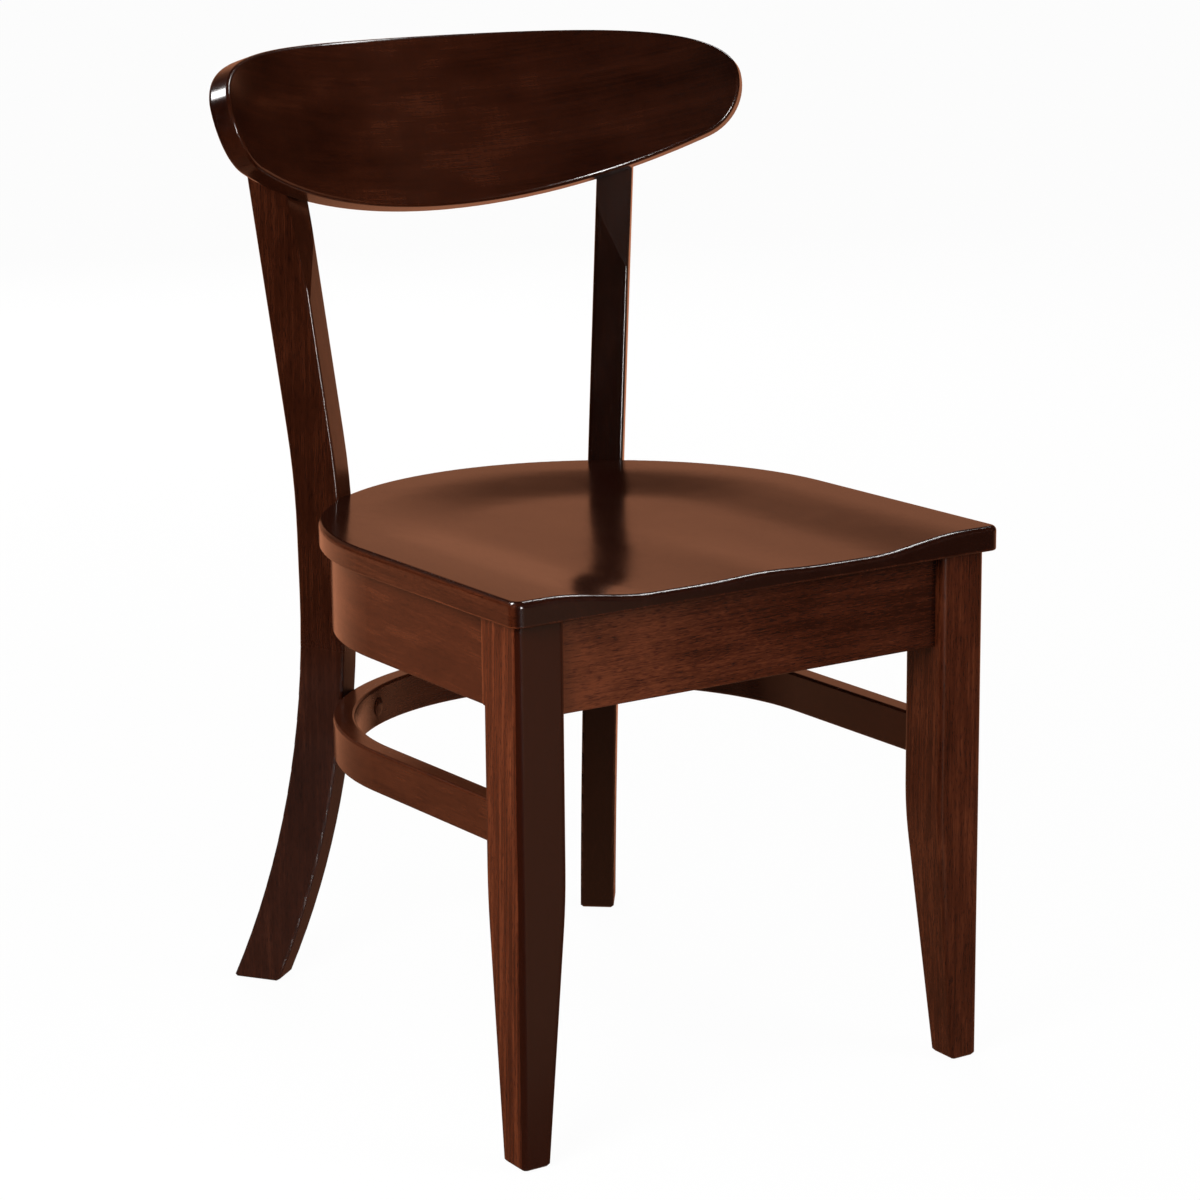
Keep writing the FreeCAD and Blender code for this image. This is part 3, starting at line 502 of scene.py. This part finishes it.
# Stage: a pale floor, a white background, and what the lacquer mirrors
def stage_floor():
    material = bpy.data.materials.new("pale_floor")
    shade = Shading(material)
    camera_ray = shade.node("ShaderNodeLightPath", {}, {}, "Is Camera Ray")
    glossy_ray = shade.node("ShaderNodeLightPath", {}, {}, "Is Glossy Ray")
    x, y, z = shade.place()
    forward = towards(x, y, SWEEP_FORWARD)
    lit = forward.smooth(*LIT_FORWARD) * towards(x, y, SWEEP_RIGHT).smooth(*LIT_RIGHT)
    patch = 1.0 - towards(x, y, LEG_FACE_DIRECTION).smooth(*LEG_FACE_REACH)
    patch = patch * towards(x, y, LEG_ARRIS_DIRECTION).smooth(*LEG_ARRIS_REACH)
    patch = patch * (1.0 - forward.smooth(*PATCH_FORWARD))
    seen = shade.either(FLOOR_WHITENESS, shade.paint(FLOOR_PAINT), shade.glow(WHITE, 1.0))
    warm = shade.glow(WARM_WALL, lit * LIT_GLOW + forward.smooth(*FAR_FORWARD) * FAR_GLOW + DIM_SHARE)
    mirrored = shade.either(patch, warm, shade.glow(PATCH_COLOUR, PATCH_GLOW))
    unseen = shade.either(glossy_ray, shade.paint(FLOOR_BOUNCE), mirrored)
    shade.node("ShaderNodeOutputMaterial", {}, {"Surface": shade.either(camera_ray, unseen, seen)})
    corners = [(-1, -1), (1, -1), (1, 1), (-1, 1)]
    mesh = bpy.data.meshes.new("floor")
    mesh.from_pydata([(FLOOR_HALF * side, FLOOR_HALF * end, 0) for side, end in corners], [], [(0, 1, 2, 3)])
    mesh.materials.append(material)
    floor = bpy.data.objects.new("floor", mesh)
    bpy.context.scene.collection.objects.link(floor)


def light_world():
    world = bpy.data.worlds.new("studio")
    bpy.context.scene.world = world
    shade = Shading(world)
    camera_ray = shade.node("ShaderNodeLightPath", {}, {}, "Is Camera Ray")
    glossy_ray = shade.node("ShaderNodeLightPath", {}, {}, "Is Glossy Ray")
    x, y, up = shade.parts(shade.node("ShaderNodeTexCoord", {}, {}, "Generated"))
    forward = towards(x, y, SWEEP_FORWARD)
    glow = WALL_GLOW - up.smooth(*WALL_DIMMING) * WALL_DIM_LOSS
    wall = forward.smooth(*WALL_FORWARD) * glow * (1.0 - up.smooth(*WALL_TOP) * WALL_TOP_LOSS)
    low_wall = forward.smooth(*LOW_WALL_FORWARD) * (1.0 - up.smooth(*LOW_WALL_TOP)) * LOW_WALL_GLOW
    around = abs(y).smooth(*AROUND_SIDE) * up.smooth(*AROUND_BASE)
    around = around * (1.0 - up.smooth(*AROUND_TOP)) * AROUND_GLOW
    wall = wall.math("MAXIMUM", low_wall).math("MAXIMUM", around)
    soft = shade.sky(SOFT_COLOUR, SOFT_GLOW + up.smooth(*SOFT_RISE) * SOFT_RISE_GLOW)
    unseen = shade.either(glossy_ray, soft, shade.sky(WARM_WALL, wall + DIM_SHARE))
    surface = shade.either(camera_ray, unseen, shade.sky(WHITE, 1.0))
    shade.node("ShaderNodeOutputWorld", {}, {"Surface": surface})


def add_softbox(name, place, target, size, power, highlight):
    """A light panel that gives either highlights or soft light."""
    data = bpy.data.lights.new(name, "AREA")
    data.shape = "RECTANGLE"
    data.size, data.size_y = size
    data.energy = power
    light = bpy.data.objects.new(name, data)
    light.visible_glossy = highlight
    light.visible_diffuse = not highlight
    light.location = place
    light.rotation_euler = (Vector(target) - Vector(place)).to_track_quat("-Z", "Y").to_euler()
    bpy.context.scene.collection.objects.link(light)


def dress(names, material):
    for name in names:
        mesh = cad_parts[name].data
        mesh.materials.clear()
        mesh.materials.append(material)


class GeometryTree(Shading):
    """A Geometry Nodes tree whose sizes are named inputs."""

    def __init__(self, name, sizes):
        self.tree = bpy.data.node_groups.new(name, "GeometryNodeTree")
        sockets = self.tree.interface
        sockets.new_socket("Points", in_out="INPUT", socket_type="NodeSocketGeometry")
        for size in sizes:
            sockets.new_socket(size, in_out="INPUT", socket_type="NodeSocketFloat")
        sockets.new_socket("Material", in_out="INPUT", socket_type="NodeSocketMaterial")
        sockets.new_socket("Pieces", in_out="OUTPUT", socket_type="NodeSocketGeometry")
        entry = self.tree.nodes.new("NodeGroupInput")
        self.given = {socket.name: Value(self, socket) for socket in entry.outputs if socket.name}

    def join(self, parts):
        made = self.tree.nodes.new("GeometryNodeJoinGeometry")
        for part in parts:
            self.tree.links.new(part.socket, made.inputs[0])
        return Value(self, made.outputs[0])

    def vector(self, x, y, z):
        return self.node("ShaderNodeCombineXYZ", {}, [x, y, z])

    def lifted(self, geometry, height):
        return self.node("GeometryNodeTransform", {}, {
            "Geometry": geometry, "Translation": self.vector(0.0, 0.0, height)})

    def finish(self, shape):
        """One shape at each point, its Z turned to the point's direction."""
        direction = self.node(
            "GeometryNodeInputNamedAttribute", {"data_type": "FLOAT_VECTOR"}, {"Name": "direction"})
        turn = self.node("FunctionNodeAlignRotationToVector", {"axis": "Z"}, {"Vector": direction})
        placed = self.node("GeometryNodeInstanceOnPoints", {}, {
            "Points": self.given["Points"], "Instance": shape, "Rotation": turn})
        plain = self.node("GeometryNodeRealizeInstances", {}, [placed])
        dressed = self.node("GeometryNodeSetMaterial", {}, {
            "Geometry": plain, "Material": self.given["Material"]})
        self.node("NodeGroupOutput", {}, {"Pieces": dressed})
        return self.tree


def screw_tree():
    tree = GeometryTree("wood_screws", ["Length", *SCREW_SIZES])
    given = tree.given
    head_radius = given["Head diameter"] * 0.5
    shank_radius = given["Shank diameter"] * 0.5
    head_height = head_radius - shank_radius
    tip_height = given["Shank diameter"]
    core_radius = shank_radius - given["Thread depth"]
    body = given["Length"] - head_height - tip_height
    head = tree.node("GeometryNodeMeshCone", {}, {
        "Vertices": HEAD_SIDES, "Radius Top": shank_radius, "Radius Bottom": head_radius,
        "Depth": head_height})
    long_side, short_side = given["Recess length"], given["Recess width"]
    for width, depth in ((long_side, short_side), (short_side, long_side)):
        bar = tree.node("GeometryNodeMeshCube", {}, {
            "Size": tree.vector(width, depth, given["Recess depth"] * 2.0)})
        head = tree.node("GeometryNodeMeshBoolean", {"operation": "DIFFERENCE"}, {
            "Mesh 1": head, "Mesh 2": bar})
    core = tree.node("GeometryNodeMeshCylinder", {}, {
        "Vertices": SHANK_SIDES, "Radius": core_radius, "Depth": body})
    tip = tree.node("GeometryNodeMeshCone", {}, {
        "Vertices": SHANK_SIDES, "Radius Top": 0.0, "Radius Bottom": core_radius, "Depth": tip_height})
    ridge = tree.node("GeometryNodeCurvePrimitiveCircle", {}, {
        "Resolution": RIDGE_SIDES, "Radius": given["Thread depth"]})
    turns = tree.node("GeometryNodeCurveSpiral", {}, {
        "Resolution": SHANK_SIDES, "Rotations": body / given["Thread pitch"], "Start Radius": core_radius,
        "End Radius": core_radius, "Height": body})
    thread = tree.node("GeometryNodeCurveToMesh", {}, {
        "Curve": turns, "Profile Curve": ridge, "Fill Caps": True})
    return tree.finish(tree.join([
        head, tree.lifted(core, head_height + body * 0.5), tree.lifted(tip, given["Length"] - tip_height),
        tree.lifted(thread, head_height)]))


def screw_places(name):
    """Head centre and head-to-tip vector of each screw of a CAD node."""
    mesh = bmesh.new()
    mesh.from_mesh(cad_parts[name].data)
    bmesh.ops.remove_doubles(mesh, verts=mesh.verts, dist=SAME_PLACE)
    places = []
    seen = set()
    for start in mesh.verts:
        if start in seen:
            continue
        seen.add(start)
        island = [start]
        for vertex in island:
            for edge in vertex.link_edges:
                other = edge.other_vert(vertex)
                if other not in seen:
                    seen.add(other)
                    island.append(other)
        spots = [vertex.co.copy() for vertex in island]
        middle = sum(spots, Vector()) / len(spots)
        tip = max(spots, key=lambda spot: (spot - middle).length)
        axis = (tip - middle).normalized()
        level = min(axis.dot(spot) for spot in spots) + HEAD_PLANE
        head = [spot for spot in spots if axis.dot(spot) < level]
        centre = sum(head, Vector()) / len(head)
        places.append((centre, tip - centre))
    mesh.free()
    return places


def make_screws(name, tree, material):
    places = screw_places(name)
    points = bpy.data.meshes.new(name)
    points.from_pydata([centre for centre, reach in places], [], [])
    direction = points.attributes.new("direction", "FLOAT_VECTOR", "POINT")
    for index, (centre, reach) in enumerate(places):
        direction.data[index].vector = reach.normalized()
    maker = bpy.data.objects.new(name + "_maker", points)
    bpy.context.scene.collection.objects.link(maker)
    modifier = maker.modifiers.new("screws", "NODES")
    modifier.node_group = tree
    first_reach = places[0][1]
    sizes = {**SCREW_SIZES, "Length": first_reach.length, "Material": material}
    for socket in tree.interface.items_tree:
        if socket.in_out == "INPUT" and socket.name in sizes:
            modifier[socket.identifier] = sizes[socket.name]
    depsgraph = bpy.context.evaluated_depsgraph_get()
    made = bpy.data.meshes.new_from_object(maker.evaluated_get(depsgraph))
    maker.modifiers.remove(modifier)
    bpy.data.objects.remove(maker)
    piece = bpy.data.objects.new(name + "_threaded", made)
    bpy.context.scene.collection.objects.link(piece)
    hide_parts(name)
    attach(piece, "root")


add_camera()
bpy.context.scene.view_settings.view_transform = "Standard"
stage_floor()
light_world()

# Light panels: places and sizes in metres, power in watts
add_softbox(
    "overhead_left", place=(-1.13, 0.97, 2.56), target=(-0.24, 0.08, 0.76), size=(1.0, 0.8), power=75.0,
    highlight=True)
add_softbox(
    "front_strip", place=(-0.15, -2.6, 0.72), target=(-0.2, 0.2, 0.6), size=(0.4, 0.6), power=38.0,
    highlight=True)
add_softbox(
    "top_strip", place=(1.25, 0.42, 2.25), target=(0.0, -0.2, 0.45), size=(0.9, 0.25), power=13.0,
    highlight=True)
add_softbox(
    "left_fill", place=(-1.0, -0.55, 0.85), target=(0.0, 0.0, 0.4), size=(0.5, 0.5), power=12.5,
    highlight=False)
add_softbox(
    "rear_fill", place=(1.2, 3.4, 1.7), target=(0.0, 0.1, 0.5), size=(2.0, 1.5), power=60.0,
    highlight=False)
add_softbox(
    "right_fill", place=(1.7, -2.2, 1.3), target=(0.0, 0.0, 0.5), size=(1.5, 1.5), power=40.0,
    highlight=False)

# Stained pieces, each with its own tone and figure, and on some pieces painted shade and painted highlights
dress(["seat"], stained_wood(
    "seat_stain", front_to_back_grain, "Y", tone=1.0, blotch=0.3, streak=0.4, fleck=0.25, ring=0.06, seed=2.0,
    end_dark=0.55, gloss=0.17, shaded_side_axis="Z", painted_side_shade=0.5, painted_arris_highlight=0.45))
dress(["back_panel"], stained_wood(
    "panel_stain", panel_grain, "X", tone=0.66, blotch=0.4, streak=0.22, fleck=0.15, ring=0.05, seed=17.0,
    gloss=0.17, fibre_length=0.05, cross_figure=0.16, painted_light_falloff=-0.3, painted_end_shade=0.9))
dress(["rear_leg_left"], stained_wood(
    "left_post_stain", upright_grain, "Z", tone=0.66, blotch=0.3, streak=0.35, fleck=0.3, ring=0.08,
    seed=31.0, matt_below=0.26))
# The right post's tone is far darker than the left post's: painted shade
dress(["rear_leg_right"], stained_wood(
    "right_post_stain_painted_shade", upright_grain, "Z", tone=0.18, blotch=0.3, streak=0.3, fleck=0.3, ring=0.08,
    seed=37.0))
dress(["front_leg_left"], stained_wood(
    "left_leg_stain", upright_grain, "Z", tone=1.85, blotch=0.2, streak=0.6, fleck=0.25, ring=0.1, seed=43.0,
    shaded_side_axis="Y", painted_side_shade=0.55, painted_dark_arris=0.8))
dress(["front_leg_right"], stained_wood(
    "right_leg_stain", upright_grain, "Z", tone=1.3, blotch=0.2, streak=0.5, fleck=0.3, ring=0.1, seed=57.0))
dress(["front_rail"], stained_wood(
    "rail_stain", level_grain, "X", tone=1.22, blotch=0.45, streak=0.4, fleck=0.35, ring=0.08, seed=61.0,
    painted_light_falloff=-1.9, pale_fleck=0.22))
dress(["bent_apron"], stained_wood(
    "apron_stain", bent_grain, "Y", tone=1.3, blotch=0.2, streak=0.22, fleck=0.2, ring=0.1, seed=73.0,
    ring_width=0.016, end_dark=0.0, joint_y=JOINT_Y, top_shade=0.3))
dress(["bent_stretcher"], stained_wood(
    "stretcher_stain", bent_grain, "Y", tone=0.95, blotch=0.2, streak=0.12, fleck=0.15, ring=0.05, seed=89.0,
    end_dark=0.0, painted_light_falloff=-0.35))
dress(["stretcher_plugs", "post_plugs"], stained_wood(
    "plug_stain", upright_grain, "Z", tone=0.8, blotch=0.3, streak=0.3, fleck=0.3, ring=0.1, seed=97.0,
    end_dark=0.0))

# Hidden pieces: bare wood, steel and nylon
block_stock = bare_wood("block_stock", level_grain, "X", BLOCK_PALE, BLOCK_BROWN, seed=5.0)
dress(["corner_block_left", "corner_block_right", "rear_seat_block"], block_stock)
dowel_stock = bare_wood("dowel_stock", level_grain, "X", DOWEL_PALE, DOWEL_BROWN, seed=9.0)
dress(["rail_dowels", "apron_dowels", "stretcher_dowels"], dowel_stock)
steel = plated_steel()
dress(["panel_screws", "stretcher_bolts", "glide_nails"], steel)
screws = screw_tree()
for screw_node in ("corner_block_screws", "rear_block_screws", "seat_screws", "apron_screws"):
    make_screws(screw_node, screws, steel)
dress(["glide_pads"], moulded_nylon())
